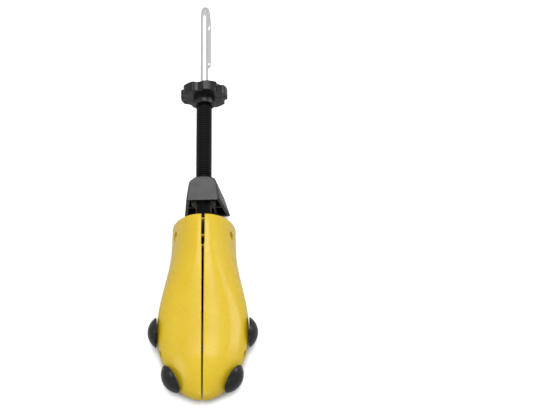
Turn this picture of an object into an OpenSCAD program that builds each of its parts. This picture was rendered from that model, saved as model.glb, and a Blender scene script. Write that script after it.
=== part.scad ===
// Two-way shoe stretcher: a split forepart that a hooked spindle spreads
// sideways, and a heel piece that a star knob drives along a threaded tube.
// Millimetres. +Z is up from the sole, +Y runs from the toe to the hook.
// The origin is at the sole's level, under the middle of the whole length.

/* [Forepart] */
// Length from the tip of the toe to the rear face, along the rod's line
fore_l = 142; // [136:1:150]
// Full width at the ball of the foot, closed
ball_w = 69; // [63:1:73]
// Distance from the tip of the toe to the widest place
ball_y = 57; // [52:1:60]
// Full width at the rear
rear_w = 50; // [47:1:53]
// Height of the ridge at the rear
rear_h = 50; // [48:1:53]
// Height of the ridge just behind the toe
toe_h = 23; // [21:1:25]
// How far the tip of the sole turns up
toe_spring = 4; // [2:0.5:5]
// Thickness of the moulded shells
wall = 2.6; // [2:0.1:3]
// Gap between the halves at the toe
seam_toe = 1.1; // [0.8:0.1:1.3]
// Gap between the halves over the hinge
seam_rear = 2.4; // [2.2:0.1:2.8]

/* [Hinge and spread] */
// Sideways distance of each hinge pin from the middle
pin_x = 11; // [11:0.1:11.6]
// Diameter of the hinge pins
pin_d = 4; // [3.5:0.1:4.2]
// Angle that each half opens, degrees
spread_a = 7; // [5:0.5:7]
// Travel of the wedge for the full opening
wedge_travel = 20; // [18:0.5:20]
// Width of the wedge across the rod
wedge_w = 22; // [20:0.5:22]

/* [Rod] */
// Slope of the rod above the sole, degrees
rod_a = 15; // [13:0.5:17]
// Height of the rod's line where it leaves the forepart
rod_z = 30; // [28:0.5:31]
// Diameter of the steel rod
rod_d = 6.4; // [6:0.1:6.6]
// Distance from the forepart's rear face to the start of the hook's bend
hook_s = 179.5; // [176:0.5:182]
// Distance between the middles of the hook's two legs
hook_w = 25; // [22:1:28]
// Length of the hook's free leg, from its bend to its tip
hook_leg = 30; // [27:1:36]
// Turn of the hook about the rod at rest, degrees
hook_turn = 4; // [0:1:6]

/* [Threaded tube and knob] */
// Outside diameter of the thread
tube_d = 12.6; // [12.2:0.1:12.8]
// Pitch of the thread
pitch = 1.75; // [1.5:0.25:2]
// Distance from the forepart's rear face to the middle of the knob
knob_s = 110; // [106:1:114]
// Diameter over the knob's lobes
knob_d = 37.6; // [35.6:0.5:39.6]
// Thickness of the knob's rim
knob_t = 8; // [7:0.5:9]
// Diameter of the hub under the knob
hub_d = 17.5; // [17:0.5:18.5]
// Length of that hub
hub_l = 6; // [5:0.5:7]

/* [Heel piece] */
// Width of the top plate at its front edge
heel_w = 25; // [24:0.5:27]
// Widest place at the foot of the heel piece
heel_foot_w = 37; // [35:0.5:38]
// Turn of the heel piece about the tube at rest, degrees
heel_turn = 4; // [0:1:6]
// Length of the top plate
heel_l = 18; // [17.5:0.5:19.5]
// Length of the heel piece at its foot
foot_l = 21; // [20:0.5:24]
// Clear distance from the forepart's rear face to the heel piece
heel_s = 17; // [16:0.5:18]
// Travel of the heel piece along the thread
heel_travel = 58; // [50:1:60]
// Diameter of the nut's flange
flange_d = 19.2; // [18:0.2:20]

/* [Bunion plugs] */
// Diameter of a plug's dome
plug_d = 22.5; // [21.5:0.5:23.5]
// Height of a plug's dome
plug_h = 6; // [5.6:0.2:6.6]
// Diameter of a plug's socket
socket_d = 5.6; // [5.2:0.1:6]
// Depth of a socket below the outer surface
socket_l = 7; // [6.5:0.5:8]
// Diameter of the free hole high on each side, near the rear
rear_hole_d = 7.2; // [6.8:0.1:7.6]

/* [Hidden] */
$fn = 64;

yellow = [0.89, 0.76, 0.24];
black = [0.09, 0.09, 0.10];
steel = [0.80, 0.81, 0.83];
running = 0.05;
rise = sin(rod_a);
run = cos(rod_a);

// The hinge pins stand upright beside the rod
pin_y = fore_l - 8.5;
carrier_z0 = 15.4;
carrier_z1 = 38.4;
lug_t = 3.2;
carrier_w = 2 * pin_x + 7.4;
carrier_h = carrier_z1 - carrier_z0;
shell_gap = 0.5;
lug_gap = 0.3;
carrier_front = -16.5;
carrier_rear = -2.2;

// The wedge's place at rest, measured along the rod from the rear face
wedge_s = -46;
wedge_y = fore_l + wedge_s * run;
wedge_z = rod_z + wedge_s * rise;
wedge_end_r = 2;
wedge_h = 12.5;
wedge_l = 13;

function clamp(t) = min(1, max(0, t));
function lerp(a, b, t) = a + (b - a) * t;
function ease(t) = (1 - cos(180 * clamp(t))) / 2;
function arc(t) = sqrt(max(0, 1 - pow(1 - clamp(t), 2)));

// Moves a drawing from the toe's frame to the part's origin
module place() {
    translate([0, -mid_y, 0]) children();
}

// Local +Z runs up the rod, local +Y points down from it, s = 0 at the rear face
module on_rod(s = 0) {
    translate([0, fore_l + s * run, rod_z + s * rise])
        rotate([rod_a - 90, 0, 0])
            children();
}

// A closed skin over rings of points that all have the same count
module skin(rings) {
    n = len(rings);
    m = len(rings[0]);
    polyhedron(
        points = [for (ring = rings) each ring],
        faces = [
            [for (j = [m - 1:-1:0]) j],
            [for (j = [0:m - 1]) (n - 1) * m + j],
            for (i = [0:n - 2]) for (j = [0:m - 1])
                let (a = i * m + j, b = i * m + (j + 1) % m)
                each [[a, b, a + m], [b, b + m, a + m]]
        ]
    );
}

/* Forepart: its width, ridge, sole and seam as functions of y from the toe */
nose_z = 9.5;
nose_l = 30;
chin_l = 13;
spring_l = 46;
toe_n = 1.87;
sole_n = 2.9;
sole_over = 1.08;
edge_c = 0.7;
step = 10;
tab_stations = [fore_l - 8.7, fore_l - 22.8, fore_l - 30.9];
seam_y = tab_stations[2] - 1;

function half_w(y) = y < ball_y
    ? ball_w / 2 * pow(1 - pow(1 - clamp(y / ball_y), toe_n), 1 / toe_n)
    : lerp(ball_w / 2, rear_w / 2, ease((y - ball_y) / (fore_l - 16 - ball_y)));
function ridge(y) = lerp(toe_h, rear_h, ease(0.06 + 0.88 * y / fore_l) * 1.02);
function top_z(y) = lerp(nose_z, ridge(y), arc(y / nose_l));
function sole_z(y) = toe_spring * pow(1 - clamp(y / spring_l), 2);
function bottom_z(y) = lerp(nose_z, sole_z(y), arc(y / chin_l));
function rearward(y) = ease((y - ball_y) / (fore_l - ball_y));
function belly_z(y) = lerp(bottom_z(y), top_z(y), lerp(0.34, 0.18, rearward(y)));
function dome_n(y) = lerp(2.1, 1.95, rearward(y));
function lean(y) = -tan(rod_a) * rearward(y);
// The seam widens behind the last tab, and once more where the halves close in
function seam(y) = y < seam_y
    ? lerp(seam_toe, seam_toe + 0.7, clamp(y / seam_y)) / 2
    : y < fore_l - 5
        ? lerp(seam_toe + 0.7, seam_rear, ease((y - seam_y) / 4)) / 2
        : seam_rear / 2 + 0.12 * (y - fore_l + 5);

// A point of a half's section, k inside its outer surface, at angle a
function section_point(y, a, k) =
    let (
        n = 2 / (a < 0 ? sole_n : dome_n(y)),
        zw = belly_z(y),
        z = a < 0
            ? max(bottom_z(y) + k,
                zw - sole_over * (zw - bottom_z(y) - k) * pow(-sin(a), n))
            : zw + (top_z(y) - k - zw) * pow(sin(a), n),
        yy = y + lean(y) * (z - rod_z),
        x0 = seam(yy) + (k > 0 ? 0 : edge_c)
    )
    [x0 + (half_w(y) - k - x0) * pow(cos(a), n), yy, z];

function edge_point(y, z) =
    let (yy = y + lean(y) * (z - rod_z))
    [seam(yy), yy, z];

function outer_ring(y) = [
    edge_point(y, bottom_z(y) + edge_c),
    for (a = [-90:step:90]) section_point(y, a, 0),
    edge_point(y, top_z(y) - edge_c)
];
function inner_ring(y) = [for (a = [-90:step:90]) section_point(y, a, wall)];

toe_stations = [for (t = [6, 14, 23, 33, 44, 56, 69, 81])
    ball_y * (1 - cos(t))];
back_stations = [for (i = [0:10]) lerp(ball_y, fore_l, i / 10)];
stations = concat(toe_stations, back_stations);
hollow_from = 2;
hook_end = fore_l + hook_s * run + hook_w / 2 * (1 + rise) + rod_d / 2 - 0.02;
mid_y = (stations[0] + hook_end) / 2;

// One half as a single closed skin: outside, inside, rear rim and seam rims
module half_skin() {
    n = len(stations);
    k = hollow_from;
    outer = [for (y = stations) outer_ring(y)];
    inner = [for (i = [k:n - 1]) inner_ring(stations[i])];
    m = len(outer[0]);
    q = len(inner[0]);
    base = n * m;
    toe = base + (n - k) * q;
    function o(i, j) = i * m + j;
    function v(i, j) = base + (i - k) * q + j;
    function middle(ring) = [for (c = [0:2])
        (ring[0][c] + ring[floor(len(ring) / 2)][c] + ring[len(ring) - 1][c]) / 3];
    polyhedron(
        points = concat([for (r = outer) each r], [for (r = inner) each r],
            [middle(outer[0]), middle(inner[0])]),
        faces = [
            for (j = [0:m - 1]) [toe, o(0, (j + 1) % m), o(0, j)],
            for (j = [0:q - 1]) [toe + 1, v(k, j), v(k, (j + 1) % q)],
            [o(n - 1, 0), o(n - 1, 1), v(n - 1, 0)],
            [o(n - 1, m - 2), o(n - 1, m - 1), v(n - 1, q - 1)],
            for (j = [0:q - 2]) each
                [[o(n - 1, j + 1), o(n - 1, j + 2), v(n - 1, j)],
                    [v(n - 1, j), o(n - 1, j + 2), v(n - 1, j + 1)]],
            for (i = [0:n - 2]) for (j = [0:m - 2])
                each [[o(i, j), o(i, j + 1), o(i + 1, j)],
                    [o(i, j + 1), o(i + 1, j + 1), o(i + 1, j)]],
            for (i = [k:n - 2]) for (j = [0:q - 2])
                each [[v(i, j), v(i + 1, j), v(i, j + 1)],
                    [v(i, j + 1), v(i + 1, j), v(i + 1, j + 1)]],
            for (i = [0:k - 2])
                each [[o(i, 0), o(i + 1, m - 1), o(i, m - 1)],
                    [o(i, 0), o(i + 1, 0), o(i + 1, m - 1)]],
            [o(k - 1, 0), o(k, 0), v(k, 0)],
            [o(k - 1, 0), v(k, 0), v(k, q - 1)],
            [o(k - 1, 0), v(k, q - 1), o(k, m - 1)],
            [o(k - 1, 0), o(k, m - 1), o(k - 1, m - 1)],
            for (i = [k:n - 2])
                each [[o(i, 0), o(i + 1, 0), v(i, 0)],
                    [o(i + 1, 0), v(i + 1, 0), v(i, 0)],
                    [o(i, m - 1), v(i, q - 1), o(i + 1, m - 1)],
                    [v(i, q - 1), v(i + 1, q - 1), o(i + 1, m - 1)]]
        ]
    );
}

// Outer surface of a half at height z above the belly
function outer_x(y, z) =
    let (t = clamp((z - belly_z(y)) / (top_z(y) - belly_z(y))), n = dome_n(y))
    seam(y) + edge_c + (half_w(y) - seam(y) - edge_c) * pow(1 - pow(t, n), 1 / n);

// Inner surface of a half at height z above the belly
function inner_x(y, z) =
    let (n = dome_n(y), w = half_w(y) - wall - seam(y),
        t = clamp((z - belly_z(y)) / (top_z(y) - wall - belly_z(y))))
    seam(y) + w * pow(1 - pow(t, n), 1 / n);

/* Sockets for the plugs: y, z, turn toward the toe, upward tilt, depth of the
   bore, and how deep below the surface the boss starts */
side_socket = [ball_y - 2, 11.5, 0, 0, socket_l, 2];
front_socket = [16, 12.3, 34, 6, socket_l, 2.6];
middle_socket = [ball_y - 21, 12, 15, 0, socket_l, 2.3];
rear_socket = [fore_l - 12, 29, 0, 18, 3, 1.5];
function socket_r(k) = (k == rear_socket ? rear_hole_d : socket_d) / 2;
sockets = [side_socket, front_socket, middle_socket, rear_socket];

// Local +X leaves the outer surface at the socket's mouth
module at_socket(k) {
    translate([outer_x(k[0], k[1]), k[0], k[1]])
        rotate([0, -k[3], -k[2]])
            children();
}

module along_x(r, x0, x1) {
    translate([x0, 0, 0]) rotate([0, 90, 0]) cylinder(r = r, h = x1 - x0);
}

/* The ramp is the path of the wedge's nose, seen from the turning half */
nose_x = wedge_w / 2 - wedge_end_r;
nose_y = wedge_y - wedge_l / 2 + wedge_end_r;
function ramp_path(s) =
    let (a = spread_a * s / wedge_travel,
        dx = nose_x - pin_x,
        dy = nose_y - s * run - pin_y)
    [pin_x + dx * cos(a) + dy * sin(a), pin_y - dx * sin(a) + dy * cos(a)];
function ramp_point(s, off) =
    let (a = ramp_path(s - 0.5), b = ramp_path(s + 0.5), d = b - a)
    ramp_path(s) + off * [-d[1], d[0]] / norm(d);
ramp_steps = [-4:3:wedge_travel + 4];
ramp_gap = wedge_end_r + 0.25;
ramp_t = 2.4;
ramp_z0 = 5.5;
ramp_z1 = 26;

module ramp() {
    face = [for (s = ramp_steps) ramp_point(s, ramp_gap)];
    middle = [for (s = ramp_steps) ramp_point(s, ramp_gap + ramp_t / 2)];
    back = [for (s = ramp_steps) ramp_point(s, ramp_gap + ramp_t)];
    n = len(face);
    translate([0, 0, ramp_z0])
        linear_extrude(ramp_z1 - ramp_z0)
            polygon(concat(face, [for (i = [n - 1:-1:0]) back[i]]));
    for (z = [ramp_z0 + 1, ramp_z1 - 3])
        translate([0, 0, z])
            linear_extrude(2)
                polygon([middle[1], middle[n - 2],
                    [outer_x(back[n - 2][1], z + 1) - 1.4, back[n - 2][1]],
                    [outer_x(back[1][1], z + 1) - 1.4, back[1][1]]]);
}

// An ear round the pin, which runs 1 mm into the wall beside it
module hinge_lug(z) {
    translate([pin_x, pin_y, z]) {
        cylinder(r = 4, h = lug_t);
        translate([0, -3.8, 0]) cube([inner_x(pin_y, z) + 1 - pin_x, 7.6, lug_t]);
    }
}

spring_y = ball_y - 15;
spring_x = 13;
spring_z = 12;
post_z = wall - 1.1;

// The half on the +X side, in the toe's frame
module shell_half() {
    difference() {
        union() {
            half_skin();
            hinge_lug(carrier_z1 + lug_gap);
            hinge_lug(carrier_z0 - lug_gap - lug_t);
            ramp();
            for (k = sockets)
                at_socket(k) along_x(socket_r(k) + 1.6, -k[4] - 1.6, -k[5]);
            translate([spring_x, spring_y, post_z]) cylinder(r = 2.4, h = spring_z + 4.5 - post_z);
            for (y = tab_stations)
                translate([0.25, y, top_z(y) - 4.5]) cube([3.1, 1, 3]);
            translate([0.25, tab_stations[2], wall - 1])
                cube([3.1, pin_y - tab_stations[2], 2.6]);
        }
        for (k = sockets)
            at_socket(k) along_x(socket_r(k), k == rear_socket ? -9 : -k[4], 4);
        translate([pin_x, pin_y, carrier_z0 - lug_gap - lug_t - 1])
            cylinder(r = pin_d / 2 + running, h = carrier_h + 2 * (lug_gap + lug_t) + 1.2);
    }
}

module right_shell() {
    color(yellow) place() shell_half();
}

module left_shell() {
    color(yellow) place() mirror([1, 0, 0]) shell_half();
}

/* Hinge */
// Half the carrier's width at height z, clear of the shell's wall
function carrier_x(z) = min(carrier_w / 2, inner_x(fore_l - 20, z) - shell_gap);

module hinge_carrier() {
    levels = [carrier_z0, carrier_z1 - 4, carrier_z1 - 2, carrier_z1];
    reach = carrier_w + carrier_h;
    color(black) place() difference() {
        intersection() {
            on_rod(carrier_front)
                translate([-carrier_w, -reach, 0])
                    cube([2 * carrier_w, 2 * reach, carrier_rear - carrier_front]);
            translate([0, fore_l + reach, 0]) rotate([90, 0, 0])
                linear_extrude(2 * reach)
                    polygon(concat([for (z = levels) [carrier_x(z), z]],
                        [for (i = [3:-1:0]) [-carrier_x(levels[i]), levels[i]]]));
        }
        on_rod(carrier_front - 1) cylinder(r = rod_d / 2 + 0.3, h = 30);
        on_rod(-5.3) cylinder(r = 8.4, h = 10);
        on_rod(-8.3) cylinder(r = 5.8, h = 5);
        for (x = [-pin_x, pin_x])
            translate([x, pin_y, 0]) cylinder(r = pin_d / 2 + 0.01, h = 2 * carrier_z1);
        for (x = [-screw_x, screw_x])
            on_rod(-5.8) translate([x, 0, 0]) cylinder(r = 1.5, h = 10);
    }
}

// Each pin goes in from below, up to its head
module hinge_pin(x) {
    foot = carrier_z0 - 2 * lug_gap - lug_t;
    color(steel) place() translate([x, pin_y, foot]) {
        cylinder(r = pin_d / 2, h = carrier_z1 + lug_gap + lug_t - 0.1 - foot);
        translate([0, 0, -1.2]) cylinder(r = pin_d / 2 + 1, h = 1.2);
    }
}

module left_hinge_pin() {
    hinge_pin(-pin_x);
}

module right_hinge_pin() {
    hinge_pin(pin_x);
}

/* Wedge and its nut */
nut_af = 10;
nut_t = 5;

module hexagon(af, h) {
    cylinder(r = af / 2 / cos(30), h = h, $fn = 6);
}

module wedge() {
    color(black) place() difference() {
        union() {
            translate([-wedge_w / 2, wedge_y - wedge_l / 2 + wedge_end_r, wedge_z - wedge_h / 2])
                cube([wedge_w, wedge_l - wedge_end_r, wedge_h]);
            translate([-nose_x, wedge_y - wedge_l / 2, wedge_z - wedge_h / 2])
                cube([2 * nose_x, wedge_l, wedge_h]);
            for (x = [-nose_x, nose_x])
                translate([x, nose_y, wedge_z - wedge_h / 2])
                    cylinder(r = wedge_end_r, h = wedge_h);
        }
        on_rod(wedge_s - 15) cylinder(r = rod_d / 2 + 0.35, h = 30);
        on_rod(wedge_s - nut_t / 2 - 0.15)
            translate([-nut_af / 2 - 0.15, -12, 0])
                cube([nut_af + 0.3, 12.15 + nut_af / 2 / cos(30), nut_t + 0.3]);
    }
}

module wedge_nut() {
    color(steel) place() difference() {
        on_rod(wedge_s - nut_t / 2) rotate(30) hexagon(nut_af - 0.1, nut_t);
        on_rod(wedge_s - 5) cylinder(r = rod_d / 2 + 0.3, h = 10);
    }
}

/* Steel rod with its hook */
groove_r = rod_d / 2 - 0.5;
clip_r = 5;
clip_t = 0.8;
rear_clip_s = -8.2;
washer_s = carrier_front - 1.05;
front_clip_s = washer_s - 0.9;
rod_end = -71;
thread_end = -34;

module ring(r0, r1, s, h) {
    on_rod(s) difference() {
        cylinder(r = r1, h = h);
        translate([0, 0, -1]) cylinder(r = r0, h = h + 2);
    }
}

// A groove of the clips' width in the rod's outline
function groove(s) = [[rod_d / 2, s], [groove_r, s], [groove_r, s + clip_t + 0.2],
    [rod_d / 2, s + clip_t + 0.2]];

module rod_shaft() {
    rotate_extrude() polygon(concat(
        [[0, rod_end]],
        [for (i = [0:thread_end - rod_end - 1]) each
            [[groove_r, rod_end + i], [rod_d / 2, rod_end + i + 0.5]]],
        [[groove_r, thread_end], [rod_d / 2, thread_end + 0.5]],
        groove(front_clip_s - 0.1),
        groove(rear_clip_s - 0.1),
        [[rod_d / 2, hook_s + 0.3], [0, hook_s + 0.3]]
    ));
}

// The free leg, with a rounded tip
module hook_tip() {
    r = rod_d / 2;
    rotate_extrude() polygon(concat(
        [[0, hook_leg + 0.3], [0, -r]],
        [for (a = [-72:18:0]) [r * cos(a), r * sin(a)]],
        [[r, hook_leg + 0.3]]
    ));
}

module hook_spindle() {
    color(steel) place() {
        on_rod() rod_shaft();
        on_rod(hook_s) rotate(-hook_turn) {
            translate([0, hook_w / 2, 0]) rotate([90, 0, 90])
                rotate_extrude(angle = 180)
                    translate([hook_w / 2, 0]) circle(r = rod_d / 2 - 0.02);
            translate([0, hook_w, -hook_leg]) hook_tip();
        }
    }
}

module rear_clip() {
    color(steel) place() ring(groove_r + 0.02, clip_r, rear_clip_s, clip_t);
}

module front_clip() {
    color(steel) place() ring(groove_r + 0.02, clip_r, front_clip_s, clip_t);
}

module front_washer() {
    color(steel) place() ring(rod_d / 2 + 0.05, 6.5, washer_s, 1);
}

/* Threaded tube: one flank rises to the crest, the next falls to the root */
thread_depth = 1.05;
tube_bore = rod_d / 2 + 0.4;
tube_s0 = -0.3;
tube_s1 = knob_s - knob_t / 2 - hub_l + 1;
thread_seg = 16;
spigot_r = (tube_d / 2 - thread_depth) * cos(180 / thread_seg) - 0.04;

module thread_skin(r1, depth, lead, length) {
    r0 = r1 - depth;
    seg = thread_seg;
    steps = floor(length / lead - 1) * seg;
    function helix(t, r, z) = [r * cos(360 * t / seg), r * sin(360 * t / seg), z];
    root = [for (t = [0:steps + seg]) helix(t, r0, lead * t / seg)];
    crest = [for (t = [0:steps]) helix(t, r1, lead * (t / seg + 0.5))];
    c = len(root);
    top = len(root) + len(crest);
    polyhedron(
        points = concat(root, crest, [[0, 0, 0], [0, 0, lead * (steps / seg + 1)]]),
        faces = [
            for (t = [0:steps - 1]) each [
                [t, c + t, t + 1], [t + 1, c + t, c + t + 1],
                [c + t, t + seg, c + t + 1], [c + t + 1, t + seg, t + seg + 1]],
            for (t = [0:seg - 1]) [top, t, t + 1],
            [top, seg, c], [top, c, 0],
            for (t = [0:seg - 1]) [top + 1, steps + t + 1, steps + t],
            [top + 1, c + steps, steps + seg], [top + 1, steps, c + steps]
        ]
    );
}

module threaded_tube() {
    color(black) place() difference() {
        union() {
            on_rod(tube_s0) rotate(9)
                thread_skin(tube_d / 2, thread_depth, pitch, tube_s1 - tube_s0);
            on_rod(-5) cylinder(r = spigot_r, h = knob_s + 7);
        }
        on_rod(-6) cylinder(r = tube_bore, h = knob_s + 20);
        knob_screw_hole(1.5);
    }
}

module tube_collar() {
    color(black) place() difference() {
        union() {
            on_rod(-5) cylinder(r = 8, h = 2.4);
            on_rod(-5) cylinder(r = 5.9, h = 4.6);
        }
        on_rod(-6) cylinder(r = spigot_r + 0.01, h = 10);
    }
}

screw_x = 10.9;
plate_w = 26.6;

module tube_retainer() {
    color(steel) place() difference() {
        on_rod(carrier_rear + 0.05)
            translate([-plate_w / 2, -6.5, 0]) cube([plate_w, 17, 1.4]);
        on_rod(carrier_rear - 1) cylinder(r = 6.2, h = 4);
        on_rod(carrier_rear - 1) translate([-6.2, 0, 0]) cube([12.4, 20, 4]);
        for (x = [-screw_x, screw_x])
            on_rod(carrier_rear - 1) translate([x, 0, 0]) cylinder(r = 1.6, h = 4);
    }
}

module retainer_screws() {
    color(steel) place() for (x = [-screw_x, screw_x])
        on_rod(-5.6) translate([x, 0, 0]) {
            cylinder(r = 1.48, h = 5);
            translate([0, 0, 4.87]) difference() {
                cylinder(r = 2.4, h = 1.5);
                translate([-3, -0.4, 0.8]) cube([6, 0.8, 1]);
            }
        }
}

/* Star knob */
lobes = 6;
lobe_turn = -15;
valley_r = 6;
valley_at = knob_d / 2 + 3.6;
knob_bottom = knob_s - knob_t / 2;
knob_round = 0.5;

module knob_screw_hole(r) {
    on_rod(knob_bottom - hub_l / 2) rotate([-90, 0, 0]) cylinder(r = r, h = 12);
}

// A disc with rounded rims, cut by valleys into broad lobes
module knob_star() {
    difference() {
        rotate_extrude() polygon([
            [0, 0],
            for (a = [-90:22.5:0])
                [knob_d / 2 - knob_round + knob_round * cos(a), knob_round + knob_round * sin(a)],
            for (a = [0:22.5:90])
                [knob_d / 2 - knob_round + knob_round * cos(a), knob_t - knob_round + knob_round * sin(a)],
            [0, knob_t]
        ]);
        for (i = [0:lobes - 1])
            rotate(lobe_turn + 30 + i * 360 / lobes)
                translate([valley_at, 0, -1]) cylinder(r = valley_r, h = knob_t + 2);
    }
}

module star_knob() {
    color(black) place() difference() {
        union() {
            on_rod(knob_bottom) difference() {
                knob_star();
                rotate(lobe_turn)
                    translate([-knob_d, -0.35, -1]) cube([2 * knob_d, 0.7, 1.4]);
            }
            on_rod(knob_bottom - hub_l) cylinder(r = hub_d / 2, h = hub_l + 1);
        }
        on_rod(knob_bottom - hub_l - 1)
            cylinder(r = spigot_r + 0.02, h = hub_l + knob_t - 1);
        on_rod(knob_bottom - hub_l - 1) cylinder(r = tube_d / 2 + 0.3, h = 2.2);
        on_rod(knob_bottom) cylinder(r = rod_d / 2 + 0.5, h = knob_t + 1);
        knob_screw_hole(1.5);
    }
}

module knob_screw() {
    color(steel) place() intersection() {
        knob_screw_hole(1.48);
        ring(tube_bore + 0.4, hub_d / 2 - 0.3, knob_bottom - hub_l, hub_l);
    }
}

/* Heel piece: plan sections that grow from the top plate to the foot */
heel_wall = 2.1;
heel_top = 11;
foot_z = 2.2;
shoulder = 0.66;
rear_round = 0.84;

function foot_p(s) = -(rod_z - foot_z + s * rise) / run;
// Half a plan section at depth q, from 0 at the top plate to 1 at the foot
function heel_side(q, k) =
    let (w = lerp(heel_w, heel_foot_w, q) / 2 - k,
        l = lerp(heel_l, foot_l, q) - k,
        ws = w - lerp(1.6, 4.2, q))
    concat([[w, k > 0 ? -2 : 0], [ws, l * shoulder]],
        [for (a = [18:18:90]) [ws * cos(a), l * (shoulder + (1 - shoulder) * sin(a))]]);
function heel_ring(q, k, p) =
    let (side = heel_side(q, k),
        loop = concat(side, [for (i = [len(side) - 2:-1:0]) [-side[i][0], side[i][1]]]))
    [for (c = loop)
        let (s = heel_s + c[1], low = foot_p(s) + k)
        [c[0], -(p == undef ? lerp(heel_top - k, low, q) : p), s]];

module heel_outer() {
    skin([
        heel_ring(0, 0.9, heel_top),
        for (q = [0.03, 0.25, 0.5, 0.75, 1]) heel_ring(q, 0, undef)
    ]);
}

module heel_inner() {
    skin([for (q = [0, 0.25, 0.5, 0.75, 1]) heel_ring(q, heel_wall, undef)]);
}

flange_t = 2.2;
nut_s = heel_s - flange_t;
nut_l = 15;
nut_r = 8;
web_p = 12;
boss_r = 9.3;

module heel_ribs() {
    intersection() {
        union() {
            translate([0, 0, nut_s + flange_t + 0.1]) cylinder(r = 9.8, h = nut_l);
            translate([-20, web_p, heel_s + 0.3]) cube([40, 1.6, 18]);
            translate([-20, 2, nut_s + 10]) cube([40, web_p - 1, 2]);
            for (x = [-7.8, 6.2])
                translate([x, web_p, heel_s + 1]) cube([1.6, 30, 26]);
        }
        skin([for (q = [0, 0.5, 1]) heel_ring(q, 0.6, undef)]);
    }
}

module heel_piece() {
    color(black) place() on_rod(0) rotate(-heel_turn) difference() {
        union() {
            difference() {
                heel_outer();
                heel_inner();
            }
            heel_ribs();
            translate([0, 0, heel_s + heel_l / 2]) cylinder(r = boss_r, h = heel_l / 2 + 0.5);
        }
        translate([0, 0, nut_s]) cylinder(r = nut_r + 0.03, h = nut_l + 0.1);
        translate([0, 0, nut_s]) cylinder(r = flange_d / 2 + 0.2, h = flange_t + 0.1);
        cylinder(r = tube_d / 2 + 0.6, h = heel_s + 2 * foot_l);
    }
}

module heel_nut() {
    color(black) place() on_rod(nut_s) difference() {
        union() {
            cylinder(r = flange_d / 2, h = flange_t);
            cylinder(r = nut_r, h = nut_l);
        }
        translate([0, 0, -1]) cylinder(r = tube_d / 2 + 0.3, h = nut_l + 2);
    }
}

/* Bunion plugs */
plug_gap = 0.35;
plug_rim = 0.6;
stem_l = 6;

// Drawn along +X: the stem goes into the socket, the dome stands outside
module plug() {
    ball_r = (plug_d * plug_d / 4 + plug_h * plug_h) / (2 * plug_h);
    rotate([0, 90, 0]) rotate_extrude() intersection() {
        translate([0, plug_h - ball_r]) circle(r = ball_r, $fn = 96);
        square([plug_d / 2, plug_h + 1]);
    }
    along_x(plug_d / 2, -plug_rim, 0.02);
    along_x(socket_d / 2 - 0.07, -stem_l, 0);
}

module plug_at(k) {
    color(black) place() at_socket(k) translate([plug_gap + plug_rim, 0, 0]) plug();
}

module right_side_plug() {
    plug_at(side_socket);
}

module left_side_plug() {
    mirror([1, 0, 0]) plug_at(side_socket);
}

module right_front_plug() {
    plug_at(front_socket);
}

module left_front_plug() {
    mirror([1, 0, 0]) plug_at(front_socket);
}

// Tension spring between the posts in the two halves
module return_spring() {
    color(steel) place() translate([0, spring_y, spring_z]) {
        along_x(2.8, -8.5, 8.5);
        for (x = [-spring_x, spring_x])
            translate([x, 0, 0]) rotate_extrude() translate([3.1, 0]) circle(r = 0.5);
        along_x(0.5, -spring_x + 2.9, -8.4);
        along_x(0.5, 8.4, spring_x - 2.9);
    }
}

left_shell();
right_shell();
hinge_carrier();
left_hinge_pin();
right_hinge_pin();
wedge();
wedge_nut();
hook_spindle();
rear_clip();
front_washer();
front_clip();
threaded_tube();
tube_collar();
tube_retainer();
retainer_screws();
star_knob();
knob_screw();
heel_piece();
heel_nut();
left_side_plug();
right_side_plug();
left_front_plug();
right_front_plug();
return_spring();
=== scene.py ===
# %% [markdown]
# # A two-way shoe stretcher in Blender
# The real object is a split forepart in glossy yellow plastic, a steel rod with
# a hook that spreads it, and a black heel piece that a star knob drives along
# a threaded tube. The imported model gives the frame: where each piece is and
# what it moves with. Everything made here is in metres in that same frame.

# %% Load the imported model
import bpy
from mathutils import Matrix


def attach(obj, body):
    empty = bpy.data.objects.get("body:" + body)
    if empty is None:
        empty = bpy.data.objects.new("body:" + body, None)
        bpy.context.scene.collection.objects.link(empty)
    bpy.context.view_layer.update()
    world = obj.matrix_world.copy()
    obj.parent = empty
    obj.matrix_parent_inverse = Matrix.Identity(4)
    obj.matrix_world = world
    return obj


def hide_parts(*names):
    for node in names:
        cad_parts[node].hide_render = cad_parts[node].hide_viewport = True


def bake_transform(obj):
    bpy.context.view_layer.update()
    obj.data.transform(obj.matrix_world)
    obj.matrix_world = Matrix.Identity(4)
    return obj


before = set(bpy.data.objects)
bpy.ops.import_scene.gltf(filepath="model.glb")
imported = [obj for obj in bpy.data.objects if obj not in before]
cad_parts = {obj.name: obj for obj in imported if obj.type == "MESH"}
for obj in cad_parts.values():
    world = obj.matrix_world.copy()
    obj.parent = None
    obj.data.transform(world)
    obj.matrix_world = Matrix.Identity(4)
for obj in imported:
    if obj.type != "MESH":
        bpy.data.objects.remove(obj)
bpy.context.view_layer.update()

import math
import bmesh
import bpy
from mathutils import Matrix, Vector

scene = bpy.context.scene

# %% [markdown]
# ## Sizes
# The moulded halves are free-form, so their surface is described once by a
# few functions of the distance from the toe. They are the ones that the solids
# were drawn with, at a finer spacing here, so both models share one shape.

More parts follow.
